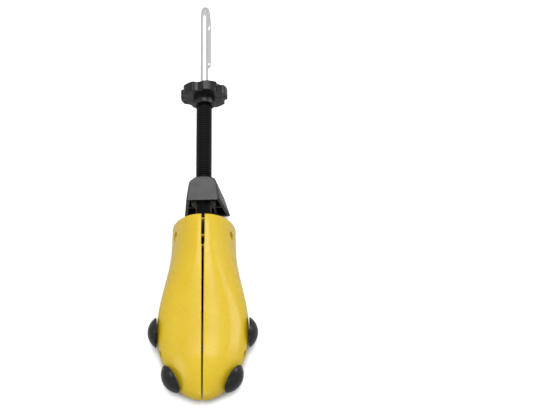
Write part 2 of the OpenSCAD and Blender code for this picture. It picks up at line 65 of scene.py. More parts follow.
# %% Sizes in millimetres, measured from the tip of the toe
MM = 0.001
FORE_L, BALL_W, BALL_Y = 142, 69, 57
REAR_W, REAR_H, TOE_H, TOE_SPRING = 50, 50, 23, 4
WALL, EDGE = 2.6, 0.7
SEAM_TOE, SEAM_REAR = 1.1, 2.4
TABS = (FORE_L - 8.7, FORE_L - 22.8, FORE_L - 30.9)
SEAM_Y = TABS[2] - 1
PIN_X, PIN_Y, PIN_D = 11, FORE_L - 8.5, 4
SLOPE = math.radians(15)
ROD_Z, ROD_D = 30, 6.4
HOOK_S, HOOK_W, HOOK_LEG, HOOK_TURN = 179.5, 25, 30, 4
HOOK_END = FORE_L + HOOK_S * math.cos(SLOPE) \
    + HOOK_W / 2 * (1 + math.sin(SLOPE)) + ROD_D / 2 - 0.02
MID_Y = (BALL_Y * (1 - math.cos(math.radians(6))) + HOOK_END) / 2
print("middle of the length, from the toe:", round(MID_Y, 3))


# %% The rod's frame
def on_rod(s):
    """A point in metres on the rod's axis, s millimetres up from the rear face."""
    return Vector((0, FORE_L + s * math.cos(SLOPE) - MID_Y,
                   ROD_Z + s * math.sin(SLOPE))) * MM


ROD = on_rod(1) - on_rod(0)
ROD.normalize()
ABOVE = Vector((0, -math.sin(SLOPE), math.cos(SLOPE)))
# Local Z runs up the rod, local Y points up from it
ROD_FRAME = Matrix((
    (-1, ABOVE.x, ROD.x, on_rod(0).x),
    (0, ABOVE.y, ROD.y, on_rod(0).y),
    (0, ABOVE.z, ROD.z, on_rod(0).z),
    (0, 0, 0, 1)))
print("the rod's direction:", [round(c, 4) for c in ROD])


# %% Helpers that finish a mesh and hand it over
def as_object(name, bm):
    mesh = bpy.data.meshes.new(name)
    bm.to_mesh(mesh)
    bm.free()
    made = bpy.data.objects.new(name, mesh)
    scene.collection.objects.link(made)
    return made


def finished(name, bm, body, material, nodes=(), sharp=32, matrix=None):
    """Makes a bmesh an object that rides on a body and may replace CAD nodes."""
    if matrix is not None:
        bmesh.ops.transform(bm, matrix=matrix, verts=bm.verts)
        if matrix.determinant() < 0:
            bmesh.ops.reverse_faces(bm, faces=bm.faces)
    piece = as_object(name, bm)
    piece.data.shade_smooth()
    piece.data.set_sharp_from_angle(angle=math.radians(sharp))
    piece.data.materials.append(material)
    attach(piece, body)
    if nodes:
        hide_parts(*nodes)
    print(f"{name}: {len(piece.data.polygons)} faces on {body}")


def outward(bm):
    """Turns all the faces of a closed mesh outward."""
    bmesh.ops.recalc_face_normals(bm, faces=bm.faces)
    if bm.calc_volume(signed=True) < 0:
        bmesh.ops.reverse_faces(bm, faces=bm.faces)


def verts_of(geom):
    return [g for g in geom if isinstance(g, bmesh.types.BMVert)]


def edges_of(geom):
    return [g for g in geom if isinstance(g, bmesh.types.BMEdge)]


# %% [markdown]
# ## Finishes
# Moulded plastic is one colour all through. What makes it look real is the
# gloss: a smooth but not perfect skin, with faint waves from the mould and
# slight changes of gloss. All patterns read Object coordinates, so they stay on
# the piece whatever moves.

# %% Node helpers, and the moulded plastics
PLASTIC_PATCHES, GLOSS_PATCHES, MOULD_GRAIN = 45, 160, 9000
COAT_GLOSS = 0.09


def new_material(name):
    material = bpy.data.materials.new(name)
    material.use_nodes = True
    nodes, links = material.node_tree.nodes, material.node_tree.links
    return material, nodes, links, nodes["Principled BSDF"]


def noise(nodes, links, scale, detail, stretch=(1, 1, 1)):
    """Noise on Object coordinates, in features per metre."""
    place = nodes.new("ShaderNodeTexCoord")
    mapping = nodes.new("ShaderNodeMapping")
    mapping.inputs["Scale"].default_value = stretch
    texture = nodes.new("ShaderNodeTexNoise")
    texture.inputs["Scale"].default_value = scale
    texture.inputs["Detail"].default_value = detail
    links.new(place.outputs["Object"], mapping.inputs["Vector"])
    links.new(mapping.outputs["Vector"], texture.inputs["Vector"])
    return texture.outputs["Fac"]


def ramp(nodes, links, value, low, high, at=(0.3, 0.7)):
    """Turns noise into a range of greys, or of colours given as triples."""
    node = nodes.new("ShaderNodeValToRGB")
    for element, colour, place in zip(node.color_ramp.elements, (low, high), at):
        grey = colour if isinstance(colour, tuple) else (colour,) * 3
        element.color = (*grey, 1)
        element.position = place
    links.new(value, node.inputs["Fac"])
    return node.outputs["Color"]


def bump(nodes, links, shader, value, strength, distance):
    node = nodes.new("ShaderNodeBump")
    node.inputs["Strength"].default_value = strength
    node.inputs["Distance"].default_value = distance
    links.new(value, node.inputs["Height"])
    links.new(node.outputs["Normal"], shader.inputs["Normal"])


def moulded(name, low, high, gloss, shine, waves=0.00004, coat=0.0):
    """Plastic from a mould: two near colours, uneven gloss, faint waves."""
    material, nodes, links, shader = new_material(name)
    patches = noise(nodes, links, PLASTIC_PATCHES, 3)
    links.new(ramp(nodes, links, patches, low, high), shader.inputs["Base Color"])
    dull_spots = noise(nodes, links, GLOSS_PATCHES, 5)
    links.new(ramp(nodes, links, dull_spots, *gloss), shader.inputs["Roughness"])
    shader.inputs["IOR"].default_value = 1.5
    shader.inputs["Specular IOR Level"].default_value = shine
    shader.inputs["Coat Weight"].default_value = coat
    shader.inputs["Coat Roughness"].default_value = COAT_GLOSS
    bump(nodes, links, shader, noise(nodes, links, MOULD_GRAIN, 2), 0.25, waves)
    return material


YELLOW = moulded("yellow moulded plastic", (0.77, 0.53, 0.016),
                 (0.81, 0.575, 0.024), (0.24, 0.32), shine=0.4, coat=0.15)
BLACK = moulded("black moulded plastic", (0.007, 0.007, 0.008),
                (0.012, 0.012, 0.013), (0.20, 0.30), shine=0.35)
SATIN = moulded("satin black plastic", (0.016, 0.016, 0.019),
                (0.022, 0.022, 0.026), (0.34, 0.42), waves=0.00002, shine=0.6)
THREAD = moulded("thread plastic", (0.006, 0.006, 0.007),
                 (0.010, 0.010, 0.011), (0.28, 0.38), waves=0.00001, shine=0.2)
DARK = moulded("dark inner plastic", (0.006, 0.006, 0.007),
               (0.010, 0.010, 0.011), (0.5, 0.65), waves=0.00002, shine=0.2)
print("plastics:", [m.name for m in (YELLOW, BLACK, SATIN, THREAD, DARK)])


# %% The metals: zinc, spring steel, steel darkened as painted shade, and the plated rod with its painted shade
METAL_PATCHES, METAL_GRAIN, SPRING_GRAIN = 60, 300, 900


def plated(name, colour, gloss, grain=METAL_GRAIN):
    """Bare or plated metal: slightly dull patches, uneven gloss, a fine grain."""
    material, nodes, links, shader = new_material(name)
    shader.inputs["Metallic"].default_value = 1.0
    dull = tuple(c * 0.94 for c in colour)
    patches = noise(nodes, links, METAL_PATCHES, 3)
    links.new(ramp(nodes, links, patches, dull, colour), shader.inputs["Base Color"])
    links.new(ramp(nodes, links, noise(nodes, links, grain, 4), *gloss),
              shader.inputs["Roughness"])
    bump(nodes, links, shader, noise(nodes, links, grain * 4, 2), 0.1, 0.000005)
    return material


ZINC = plated("zinc plate", (0.58, 0.59, 0.62), (0.25, 0.36))
SPRING = plated("spring steel", (0.42, 0.43, 0.45), (0.3, 0.4), SPRING_GRAIN)
# Steel darkened as painted shade, for the small parts that sit in shade inside the
# forepart
SHADE_DARKENED_STEEL = plated("steel darkened as painted shade", (0.045, 0.045, 0.05), (0.35, 0.5))


# Where the rod's painted shade is full and where its bright plating is full, in
# millimetres from the rear face, and the colour and gloss on either side; the dark colour
# is painted shade
PAINTED_SHADE_FULL, PLATING_FULL = -11, -9
ROD_PAINTED_SHADE, BRIGHT = (0.05, 0.047, 0.045), (0.89, 0.89, 0.91)
ROD_SHADE_GLOSS, BRIGHT_GLOSS = 0.55, 0.09
LENGTHWISE = (1, 0.08, 0.08)


def rod_plating_and_shade():
    """Bright plating, with a dark painted shade on the stretch inside the forepart."""
    material, nodes, links, shader = new_material("plated rod with painted shade")
    shader.inputs["Metallic"].default_value = 1.0
    place = nodes.new("ShaderNodeTexCoord")
    along_it = nodes.new("ShaderNodeVectorMath")
    along_it.operation = "DOT_PRODUCT"
    along_it.inputs[1].default_value = ROD
    links.new(place.outputs["Object"], along_it.inputs[0])
    share = nodes.new("ShaderNodeMapRange")
    share.inputs["From Min"].default_value = on_rod(PAINTED_SHADE_FULL).dot(ROD)
    share.inputs["From Max"].default_value = on_rod(PLATING_FULL).dot(ROD)
    links.new(along_it.outputs["Value"], share.inputs["Value"])
    # the dark end of this blend is painted shade on the stretch inside the forepart
    for socket, ends in (("Base Color", (ROD_PAINTED_SHADE, BRIGHT)),
                         ("Roughness", (ROD_SHADE_GLOSS, BRIGHT_GLOSS))):
        streaks = noise(nodes, links, METAL_GRAIN, 4, LENGTHWISE)
        patchy = ramp(nodes, links, streaks, 0.88, 1)
        base = ramp(nodes, links, share.outputs["Result"], *ends, at=(0, 1))
        both = nodes.new("ShaderNodeMix")
        both.data_type, both.blend_type = "RGBA", "MULTIPLY"
        both.inputs["Factor"].default_value = 1
        # a Mix node takes its two colours at 6 and 7, and gives one at 2
        links.new(base, both.inputs[6])
        links.new(patchy, both.inputs[7])
        links.new(both.outputs[2], shader.inputs[socket])
    return material


ROD_PLATING_AND_SHADE = rod_plating_and_shade()
print("metals:", [m.name for m in (ROD_PLATING_AND_SHADE, ZINC, SPRING, SHADE_DARKENED_STEEL)])

# %% [markdown]
# ## The forepart
# Each half is a shell of about 2.6 mm. A grid is a good start, because its two
# directions become the way round the section and the way along the foot. The
# way round goes over the outside and back along the inside, so the wall has
# its real thickness from the start.

# %% The forepart's form, as functions of y from the toe
NOSE_Z, NOSE_L, CHIN_L, SPRING_L = 9.5, 30, 13, 46
TOE_N, SOLE_N, SOLE_OVER = 1.87, 2.9, 1.08
UPPER_N, UPPER_N_REAR = 2.1, 1.95
BELLY, BELLY_REAR = 0.34, 0.18
STRAIGHT_L = 16
# Where on the easing curve the ridge starts, how much of it there is, and a
# factor that brings its end up to full height
RIDGE_FROM, RIDGE_SPAN, RIDGE_RISE = 0.06, 0.88, 1.02
# How much the seam widens up to the foremost tab, the length of the step behind
# that tab, and the length and slope of the flare at the rear
SEAM_GROWS, SEAM_STEP_L, FLARE_L, FLARE = 0.7, 4, 5, 0.12


def clamp(t):
    return min(1.0, max(0.0, t))


def lerp(a, b, t):
    return a + (b - a) * t


def ease(t):
    return (1 - math.cos(math.pi * clamp(t))) / 2


def arc(t):
    return math.sqrt(max(0.0, 1 - (1 - clamp(t)) ** 2))


def half_w(y):
    if y < BALL_Y:
        return BALL_W / 2 * (1 - (1 - clamp(y / BALL_Y)) ** TOE_N) ** (1 / TOE_N)
    waist = (y - BALL_Y) / (FORE_L - STRAIGHT_L - BALL_Y)
    return lerp(BALL_W / 2, REAR_W / 2, ease(waist))


def top_z(y):
    risen = ease(RIDGE_FROM + RIDGE_SPAN * y / FORE_L) * RIDGE_RISE
    ridge = lerp(TOE_H, REAR_H, risen)
    return lerp(NOSE_Z, ridge, arc(y / NOSE_L))


def bottom_z(y):
    return lerp(NOSE_Z, TOE_SPRING * (1 - clamp(y / SPRING_L)) ** 2, arc(y / CHIN_L))


def rearward(y):
    return ease((y - BALL_Y) / (FORE_L - BALL_Y))


def belly_z(y):
    return lerp(bottom_z(y), top_z(y), lerp(BELLY, BELLY_REAR, rearward(y)))


def upper_n(y):
    """The power of the curve from the belly to the ridge: 2 is an ellipse."""
    return lerp(UPPER_N, UPPER_N_REAR, rearward(y))


def seam(y):
    """Half the gap: it widens behind the foremost tab, and over the hinge."""
    if y < SEAM_Y:
        return lerp(SEAM_TOE, SEAM_TOE + SEAM_GROWS, clamp(y / SEAM_Y)) / 2
    if y < FORE_L - FLARE_L:
        widened = ease((y - SEAM_Y) / SEAM_STEP_L)
        return lerp(SEAM_TOE + SEAM_GROWS, SEAM_REAR, widened) / 2
    return SEAM_REAR / 2 + FLARE * (y - FORE_L + FLARE_L)


print("width and height at the ball:", 2 * half_w(BALL_Y), round(top_z(BALL_Y), 1))


# %% A point of a half's section
def lean_of(y):
    """How far a section leans, so that the rear face stands square to the rod."""
    return -math.tan(SLOPE) * rearward(y)


def section_point(y, turn, inset):
    """The point at an angle from -90 at the sole to 90 at the ridge.

    An inset below 1 mm is the outside, whose edge at the seam is rounded.
    """
    c, s = math.cos(math.radians(turn)), math.sin(math.radians(turn))
    low, top, belly = bottom_z(y) + inset, top_z(y) - inset, belly_z(y)
    if turn < 0:
        n = 2 / SOLE_N
        z = max(low, belly - SOLE_OVER * (belly - low) * (-s) ** n)
    else:
        n = 2 / upper_n(y)
        z = belly + (top - belly) * s ** n
    y_there = y + lean_of(y) * (z - ROD_Z)
    x0 = seam(y_there) + (EDGE if inset < 1 else 0)
    return Vector((x0 + (half_w(y) - inset - x0) * max(0.0, c) ** n, y_there, z))


SOLID_EDGE = 0.3


def solid_point(y, share):
    """A point of the flat seam face, where the toe is solid."""
    low, top = bottom_z(y), top_z(y)
    edge = min(WALL, SOLID_EDGE * (top - low))
    return Vector((seam(y), y, lerp(low + edge, top - edge, share)))


# %% A half's shell from one grid
# Points nearer than this, in millimetres, are one point
SAME = 1e-5
ROUND, CORNER = 64, 4
ALONG = 84
TIP_Y, HOLLOW_Y = 0.12, 4.6
RIM_ROUND = 0.4
TOE_CROWDING = 1.7


def outer_row(y, inset):
    """The outside of a section, with a small round where it meets the seam."""
    row = [section_point(y, lerp(-90, 90, j / ROUND), inset) for j in range(ROUND + 1)]
    for end, sign in ((0, 1), (-1, -1)):
        z0 = row[end].z
        centre_z = z0 + sign * EDGE
        corner = []
        for i in range(CORNER + 1):
            turn = math.radians(90 * i / CORNER)
            z = centre_z - sign * EDGE * math.cos(turn)
            y_there = row[end].y + lean_of(y) * (z - z0)
            corner.append(Vector((seam(y_there) + EDGE * (1 - math.sin(turn)),
                                  y_there, z)))
        if end == 0:
            row = corner[::-1] + row[1:]
        else:
            row = row[:-1] + corner
    return row


def inner_row(y, hollow):
    """The inside, from the ridge back to the sole, or a flat face if solid."""
    if hollow:
        return [section_point(y, lerp(90, -90, j / ROUND), WALL) for j in range(ROUND + 1)]
    return [solid_point(y, 1 - j / ROUND) for j in range(ROUND + 1)]


def half_shell():
    """Sections from the toe to the rear rim, joined into one closed skin."""
    reach = FORE_L - RIM_ROUND - TIP_Y
    stations = [(TIP_Y + reach * (i / ALONG) ** TOE_CROWDING, 0)
                for i in range(ALONG + 1)]
    for a in (math.radians(30), math.radians(60), math.radians(90)):
        stations.append((FORE_L - RIM_ROUND * (1 - math.sin(a)),
                         RIM_ROUND * (1 - math.cos(a))))
    first = next(i for i, (y, _) in enumerate(stations) if y > HOLLOW_Y)
    rows = []
    for i, (y, inset) in enumerate(stations):
        row = outer_row(y, inset)
        if i == first:
            rows.append(row + inner_row(y, False))
        rows.append(row + inner_row(y, i >= first))
    middle = sum(rows[0], Vector()) / len(rows[0])
    rows.insert(0, [middle] * len(rows[0]))
    # the last row folds the outside onto the inside and so closes the rear rim
    outside, inside = len(outer_row(FORE_L, 0)), rows[-1][-ROUND - 1:]
    fold = [inside[round((1 - j / (outside - 1)) * ROUND)] for j in range(outside)]
    rows.append(fold + inside)
    bm = bmesh.new()
    count = len(rows[0])
    bmesh.ops.create_grid(bm, x_segments=len(rows) - 1, y_segments=count, size=1)
    for v in bm.verts:
        i = round((v.co.x + 1) / 2 * (len(rows) - 1))
        v.co = rows[i][round((v.co.y + 1) / 2 * count) % count]
    bmesh.ops.remove_doubles(bm, verts=bm.verts, dist=SAME)
    bmesh.ops.dissolve_degenerate(bm, dist=SAME, edges=bm.edges)
    outward(bm)
    return bm


shell = half_shell()
print("one half's shell:", len(shell.faces), "faces, open edges:",
      sum(e.is_boundary for e in shell.edges))

# %% [markdown]
# The plug sockets are cut last, with a Boolean, the way a drill would.

# %% Cut the sockets
def outer_x(y, z):
    """How far out the shell's outside is, above its belly."""
    n = upper_n(y)
    x0 = seam(y) + EDGE
    t = clamp((z - belly_z(y)) / (top_z(y) - belly_z(y)))
    return x0 + (half_w(y) - x0) * (1 - t ** n) ** (1 / n)


def inner_x(y, z):
    """How far out the shell's inside is, above its belly."""
    n = upper_n(y)
    t = clamp((z - belly_z(y)) / (top_z(y) - WALL - belly_z(y)))
    return seam(y) + (half_w(y) - WALL - seam(y)) * (1 - t ** n) ** (1 / n)


# Each socket: y, z, turn toward the toe, upward tilt, depth, start of its
# boss, and the radius of its bore
SIDE = (BALL_Y - 2, 11.5, 0, 0, 7, 2, 2.8)
FRONT = (16, 12.3, 34, 6, 7, 2.6, 2.8)
MIDDLE = (BALL_Y - 21, 12, 15, 0, 7, 2.3, 2.8)
REAR = (FORE_L - 12, 29, 0, 18, 3, 1.5, 3.6)


def socket_frame(k):
    """Local X leaves the shell at the socket's mouth, in millimetres."""
    y, z, turn, tilt = k[:4]
    return Matrix.Translation((outer_x(y, z), y, z)) \
        @ Matrix.Rotation(math.radians(-turn), 4, "Z") \
        @ Matrix.Rotation(math.radians(-tilt), 4, "Y")


X_AXIS = Matrix.Rotation(math.radians(90), 4, "Y")


def turned(profile, steps=64):
    """A closed solid of revolution about Z from a profile of (radius, z)."""
    bm = bmesh.new()
    chain = [bm.verts.new((r, 0, z)) for r, z in profile]
    edges = [bm.edges.new(pair) for pair in zip(chain, chain[1:])]
    bmesh.ops.spin(bm, geom=chain + edges, cent=(0, 0, 0), axis=(0, 0, 1),
                   angle=math.tau, steps=steps, use_merge=True)
    bmesh.ops.remove_doubles(bm, verts=bm.verts, dist=SAME)
    outward(bm)
    return bm


def cylinder(r, z0, z1, steps=64):
    return turned([(0, z0), (r, z0), (r, z1), (0, z1)], steps)


def boolean(bm, cutters, operation="DIFFERENCE"):
    """The bmesh with each cutter taken away from it or joined to it."""
    body = as_object("boolean body", bm)
    tools = []
    for cutter in cutters:
        tool = as_object("boolean tool", cutter)
        tools.append(tool)
        step = body.modifiers.new("cut", "BOOLEAN")
        step.operation = operation
        step.solver = "EXACT"
        step.object = tool
    view = bpy.context.evaluated_depsgraph_get()
    result = bmesh.new()
    result.from_mesh(body.evaluated_get(view).to_mesh())
    for made in [body, *tools]:
        mesh = made.data
        bpy.data.objects.remove(made)
        bpy.data.meshes.remove(mesh)
    return result


SOCKETS = (SIDE, FRONT, MIDDLE, REAR)
DRILL_IN, DRILL_OUT = -9, 4


def in_socket(bm, k, out=0):
    """Sets a solid that was made about Z into a socket, or out of it a little."""
    place = socket_frame(k) @ Matrix.Translation((out, 0, 0)) @ X_AXIS
    bmesh.ops.transform(bm, matrix=place, verts=bm.verts)
    return bm


def drill(k):
    bore_r = k[6]
    return in_socket(cylinder(bore_r, DRILL_IN, DRILL_OUT, 48), k)


shell = boolean(shell, [drill(k) for k in SOCKETS])
print("shell after drilling:", len(shell.faces), "faces")

# %% Both halves, the left one as a mirror image
TO_PART = Matrix.Scale(MM, 4) @ Matrix.Translation((0, -MID_Y, 0))
MIRROR = Matrix.Scale(-1, 4, (1, 0, 0))
left = shell.copy()
finished("right_half_shell", shell, "right_half", YELLOW,
         ["right_shell"], matrix=TO_PART)
finished("left_half_shell", left, "left_half", YELLOW,
         ["left_shell"], matrix=MIRROR @ TO_PART)

# %% [markdown]
# Inside each half there are moulded features that the solids have too: two
# lugs for the hinge pin, the ramp that the wedge pushes on, a post for the
# spring, a boss behind each socket, tabs across the seam under the ridge, and
# a lip along the seam at the sole.

# %% Inner features of a half
CARRIER_Z0, CARRIER_Z1, CARRIER_PLAY = 15.4, 38.4, 0.3
LUG_T, LUG_R, LUG_HALF_W, INTO_WALL, PIN_PLAY = 3.2, 4, 3.8, 1, 0.05
BOSS_WALL = 1.6
POST_R, POST_H = 2.4, 16.5
SPRING_X, SPRING_Y, SPRING_Z = 13, BALL_Y - 15, 12
# Tabs and lip reach across x from the first to the second
SEAM_X0, SEAM_X1 = 0.25, 3.35
TAB_T, TAB_LOW, TAB_HIGH = 1, 4.5, 1.5
LIP_LOW, LIP_HIGH = WALL - 1, WALL + 1.6


def block(x0, x1, y0, y1, z0, z1):
    bm = bmesh.new()
    bmesh.ops.create_cube(bm, size=1)
    bmesh.ops.scale(bm, vec=(x1 - x0, y1 - y0, z1 - z0), verts=bm.verts)
    bmesh.ops.translate(bm, vec=((x0 + x1) / 2, (y0 + y1) / 2, (z0 + z1) / 2),
                        verts=bm.verts)
    return bm


def moved(bm, x=0, y=0, z=0):
    bmesh.ops.translate(bm, vec=(x, y, z), verts=bm.verts)
    return bm


def joined(parts):
    whole = bmesh.new()
    for part in parts:
        mesh = bpy.data.meshes.new("part")
        part.to_mesh(mesh)
        part.free()
        whole.from_mesh(mesh)
        bpy.data.meshes.remove(mesh)
    return whole


def lug(z):
    """An ear round the pin, which runs a little into the wall beside it."""
    plate = block(PIN_X, inner_x(PIN_Y, z) + INTO_WALL,
                  PIN_Y - LUG_HALF_W, PIN_Y + LUG_HALF_W, z, z + LUG_T)
    disc = moved(cylinder(LUG_R, 0, LUG_T), PIN_X, PIN_Y, z)
    hole = moved(cylinder(PIN_D / 2 + PIN_PLAY, -1, 6), PIN_X, PIN_Y, z)
    return boolean(boolean(plate, [disc], "UNION"), [hole])


RAMP = {"travel": 20, "angle": 7, "gap": 2.25, "thick": 2.4, "z0": 5.5, "z1": 26}
RAMP_SPARE, WEB_T, WEB_INTO_WALL = 4, 2, 1.4
NOSE_X, NOSE_R = 9, 2
WEDGE_S, WEDGE_HALF_L = 46, 6.5
WEDGE_Y = FORE_L - WEDGE_S * math.cos(SLOPE)
NOSE_Y = WEDGE_Y - WEDGE_HALF_L + NOSE_R


def ramp_path(s):
    """Where the wedge's nose is, seen from the half as it turns."""
    a = math.radians(RAMP["angle"] * s / RAMP["travel"])
    dx, dy = NOSE_X - PIN_X, NOSE_Y - s * math.cos(SLOPE) - PIN_Y
    return Vector((PIN_X + dx * math.cos(a) + dy * math.sin(a),
                   PIN_Y - dx * math.sin(a) + dy * math.cos(a)))


def ramp_point(s, off):
    """A point beside the nose's path, off by some millimetres outward."""
    d = ramp_path(s + 0.5) - ramp_path(s - 0.5)
    return ramp_path(s) + off * Vector((-d.y, d.x)) / d.length


def prism(corners, z, height):
    """A solid that stands on z, from the corners (x, y) of its base."""
    bm = bmesh.new()
    base = bm.faces.new([bm.verts.new((*p, z)) for p in corners])
    up = bmesh.ops.extrude_face_region(bm, geom=[base])["geom"]
    bmesh.ops.translate(bm, vec=(0, 0, height), verts=verts_of(up))
    outward(bm)
    return bm


def ramp_body():
    """The ramp, and two webs that hold it to the shell's wall."""
    steps = range(-RAMP_SPARE, RAMP["travel"] + RAMP_SPARE + 1, 2)
    face = [ramp_point(s, RAMP["gap"]) for s in steps]
    back = [ramp_point(s, RAMP["gap"] + RAMP["thick"]) for s in steps]
    solids = [prism(face + back[::-1], RAMP["z0"], RAMP["z1"] - RAMP["z0"])]
    inner = [ramp_point(s, RAMP["gap"] + RAMP["thick"] / 2) for s in (-2, 20)]
    for z in (RAMP["z0"] + 1, RAMP["z1"] - 3):
        outer = [(outer_x(back[i].y, z + 1) - WEB_INTO_WALL, back[i].y)
                 for i in (-2, 1)]
        solids.append(prism([*inner, *outer], z, WEB_T))
    return solids


def socket_boss(k, through):
    depth, start, r = k[4:]
    end, outer_r = -depth - BOSS_WALL, r + BOSS_WALL
    if through:
        ring = [(r, end), (outer_r, end), (outer_r, -start), (r, -start), (r, end)]
        return in_socket(turned(ring, 40), k)
    cup = [(0, end), (outer_r, end), (outer_r, -start), (r, -start), (r, -depth),
           (0, -depth)]
    return in_socket(turned(cup), k)


def inner_features():
    post = turned([(0, 1.5), (POST_R, 1.5), (POST_R, POST_H - 0.4),
                   (POST_R - 0.4, POST_H), (0, POST_H)])
    tabs = [block(SEAM_X0, SEAM_X1, y, y + TAB_T, top_z(y) - TAB_LOW,
                  top_z(y) - TAB_HIGH) for y in TABS]
    lip = block(SEAM_X0, SEAM_X1, TABS[2], PIN_Y, LIP_LOW, LIP_HIGH)
    return joined([lug(CARRIER_Z1 + CARRIER_PLAY), lug(CARRIER_Z0 - CARRIER_PLAY - LUG_T),
                   moved(post, SPRING_X, SPRING_Y), *ramp_body(), *tabs, lip,
                   *[socket_boss(k, k is REAR) for k in SOCKETS]])


inner = inner_features()
inner_left = inner.copy()
finished("right_half_ribs", inner, "right_half", YELLOW, matrix=TO_PART)
finished("left_half_ribs", inner_left, "left_half", YELLOW,
         matrix=MIRROR @ TO_PART)

# %% [markdown]
# ## The bunion plugs
# Each plug is a turned dome on a stem. Spinning a profile is the natural way.
# The rim has a small round, which catches a thin line of light.

# %% Four plugs
PLUG_D, PLUG_H, PLUG_OUT = 22.5, 6, 0.95
STEM_L, STEM_R, PLUG_BASE = 6, 2.73, 0.6
DOME_R = (PLUG_D ** 2 / 4 + PLUG_H ** 2) / (2 * PLUG_H)
DOME_RINGS, RIM_IN = 24, 0.35


def plug_profile():
    """From the end of the stem, over the base, round the rim to the crown."""
    rim = PLUG_D / 2
    reach = math.asin((rim - RIM_IN) / DOME_R)
    angles = [reach * (1 - i / DOME_RINGS) for i in range(DOME_RINGS + 1)]
    dome = [(DOME_R * math.sin(a), PLUG_H - DOME_R + DOME_R * math.cos(a))
            for a in angles]
    stem = [(0, -STEM_L), (2.3, -STEM_L), (STEM_R, -STEM_L + 0.4),
            (STEM_R, -PLUG_BASE)]
    edge = [(rim - 0.5, -PLUG_BASE), (rim - 0.1, -0.45), (rim, -0.1), (rim - 0.1, 0.2)]
    return stem + edge + dome


for place, k in (("side", SIDE), ("front", FRONT)):
    for side, flip in (("right", Matrix.Identity(4)), ("left", MIRROR)):
        plug = in_socket(turned(plug_profile(), 96), k, PLUG_OUT)
        finished(f"{side}_{place}_plug_dome", plug, f"{side}_{place}_plug",
                 BLACK, [f"{side}_{place}_plug"], matrix=flip @ TO_PART)

# %% [markdown]
# ## The steel rod and its hook
# The rod is one long bar with a half-round bend. Its straight leg is turned
# from a profile, with rings for the screw thread at the front. The rim of that
# leg is then spun round the bend and extruded down the free leg.

# %% The rod
ROD_START, THREAD_END = -71, -34
# Where each clip's groove starts, and its width
GROOVES, GROOVE_W = (-18.55, -8.3), 1.0
ROD_RINGS, BEND_STEPS, LEG_STEPS, TIP_STEPS = 90, 40, 17, 9


def level_edges(geom):
    """The new rim of an extrusion along Z, without the edges that climb to it."""
    return [e for e in edges_of(geom) if abs(e.verts[0].co.z - e.verts[1].co.z) < 1e-4]


def steel_rod():
    r, root = ROD_D / 2, ROD_D / 2 - 0.5
    profile = [(0, ROD_START), (root - 0.2, ROD_START)]
    # each ring of the screw thread is one millimetre long
    for s in range(ROD_START, THREAD_END):
        profile += [(root, s + 0.1), (r - 0.05, s + 0.45), (r - 0.05, s + 0.6),
                    (root, s + 0.95)]
    profile += [(r, THREAD_END + 0.5)]
    for at in GROOVES:
        profile += [(r, at), (root, at + 0.01), (root, at + GROOVE_W - 0.01),
                    (r, at + GROOVE_W)]
    profile += [(r, HOOK_S * i / ROD_RINGS) for i in range(ROD_RINGS + 1)]
    bm = turned([*profile, (0, HOOK_S)], 48)
    # the flat end comes off, and its rim goes on round the bend
    flat_end = {f for f in bm.faces if f.calc_center_median().z > HOOK_S - 0.01}
    rim = [e for e in bm.edges if sum(f in flat_end for f in e.link_faces) == 1]
    corners = list(dict.fromkeys(v for e in rim for v in e.verts))
    bmesh.ops.delete(bm, geom=list(flat_end), context="FACES")
    turn = Matrix.Rotation(math.radians(-HOOK_TURN), 3, "Z")
    bend = bmesh.ops.spin(bm, geom=rim + corners,
                          cent=turn @ Vector((0, -HOOK_W / 2, HOOK_S)),
                          axis=turn @ Vector((1, 0, 0)),
                          angle=math.pi, steps=BEND_STEPS)["geom_last"]
    edges = edges_of(bend)
    for _ in range(LEG_STEPS):
        out = bmesh.ops.extrude_edge_only(bm, edges=edges)["geom"]
        bmesh.ops.translate(bm, vec=(0, 0, -HOOK_LEG / LEG_STEPS), verts=verts_of(out))
        edges = level_edges(out)
    # the tip is a half ball, whose last small ring is closed by a flat face
    centre = turn @ Vector((0, -HOOK_W, HOOK_S - HOOK_LEG))
    for i in range(1, TIP_STEPS):
        a, b = (math.radians(90 * step / TIP_STEPS) for step in (i - 1, i))
        out = bmesh.ops.extrude_edge_only(bm, edges=edges)["geom"]
        for v in verts_of(out):
            flat = (v.co - centre) * Vector((1, 1, 0))
            v.co = centre + flat * math.cos(b) / math.cos(a) \
                + Vector((0, 0, -r * math.sin(b)))
        edges = level_edges(out)
    bmesh.ops.contextual_create(bm, geom=edges)
    bmesh.ops.remove_doubles(bm, verts=bm.verts, dist=1e-4)
    outward(bm)
    return bm


ROD_TO_PART = ROD_FRAME @ Matrix.Scale(MM, 4)
rod = steel_rod()
print("open edges on the rod:", sum(e.is_boundary for e in rod.edges))
finished("hooked_rod", rod, "spindle", ROD_PLATING_AND_SHADE, ["hook_spindle"],
         matrix=ROD_TO_PART)

# %% [markdown]
# ## The threaded tube
# A thread is a screw sweep: one pitch of the profile is spun while it climbs.
# Each turn starts where the last one ended, so merging joins them into one
# skin. Both ends are then drawn in to the bore, and the bore joins them.

# %% The thread
TUBE_R, DEPTH, PITCH, BORE_R, SPIGOT_R = 6.3, 1.05, 1.75, 3.6, 5.1
TUBE_S0, TUBE_S1 = -0.3, 101.0
TUBE_FRONT, TUBE_END, RELIEF = -5.0, 112.0, 0.2
TURN_STEPS = 40


